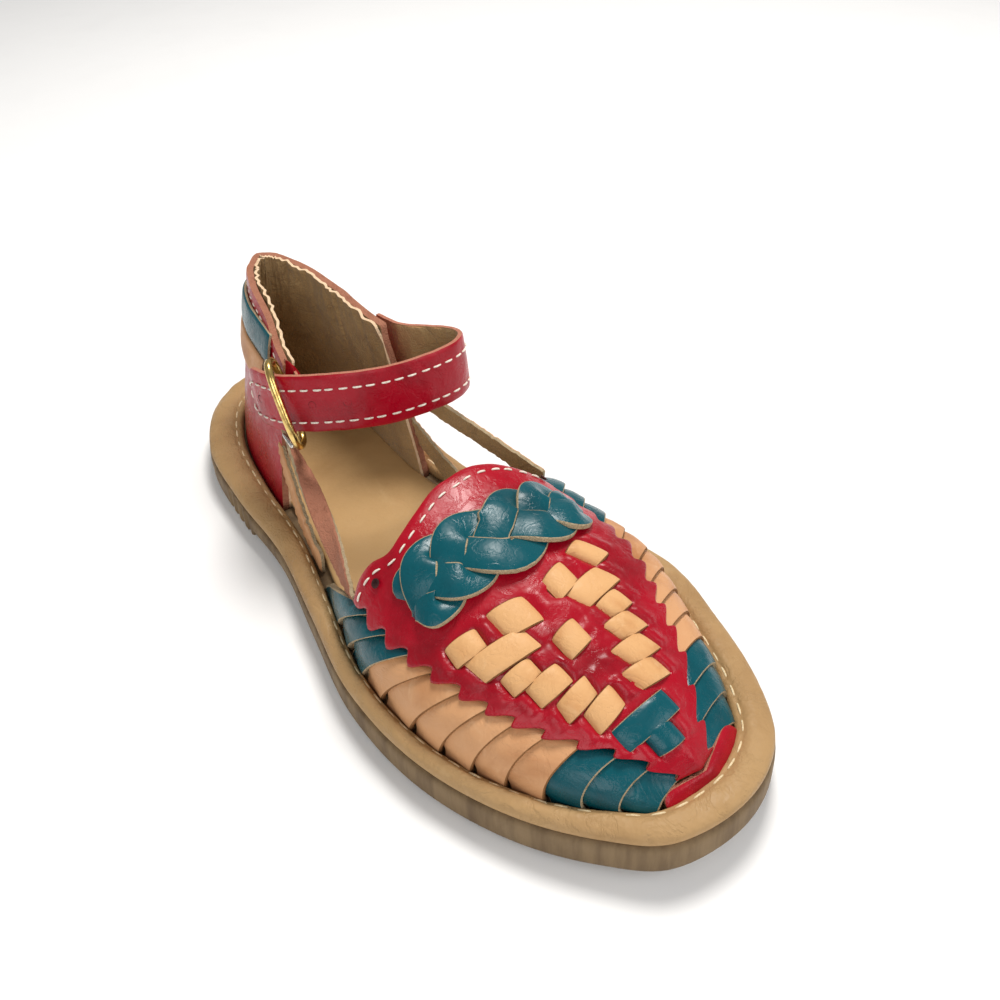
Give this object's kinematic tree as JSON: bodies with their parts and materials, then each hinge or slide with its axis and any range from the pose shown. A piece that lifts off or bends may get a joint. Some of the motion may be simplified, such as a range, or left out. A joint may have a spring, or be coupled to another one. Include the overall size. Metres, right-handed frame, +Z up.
{
  "type": "huarache sandal",
  "caption": "Child's huarache sandal for the right foot: woven leather vamp with a plait, laced open sides, heel counter, buckled ankle strap and flat rubber sole.",
  "frame": {"origin": "middle of the bounding box in plan, on the ground under the sole", "axes": "+Y along the foot towards the toe, +X towards the outer (lateral) side of the right foot, +Z up"},
  "size_m": [0.078, 0.19, 0.057],
  "materials": {
    "tan_rubber": "matt tan crepe",
    "rim_leather": "padded natural leather",
    "footbed_leather": "smooth tan leather",
    "red_leather": "glossy dyed leather",
    "teal_leather": "glossy dyed leather",
    "natural_leather": "undyed leather",
    "brass": "polished",
    "pale_steel": "plain"
  },
  "bodies": {
    "root": {"outsole": "tan_rubber", "welt_rim": "rim_leather", "insole": "footbed_leather", "upper": "red_leather", "braid": "teal_leather", "counter_band_teal": "teal_leather", "counter_band_natural": "natural_leather", "ankle_strap": "red_leather", "buckle_tab": "red_leather", "buckle_frame": "brass", "buckle_prong": "pale_steel"}
  },
  "joints": []
}
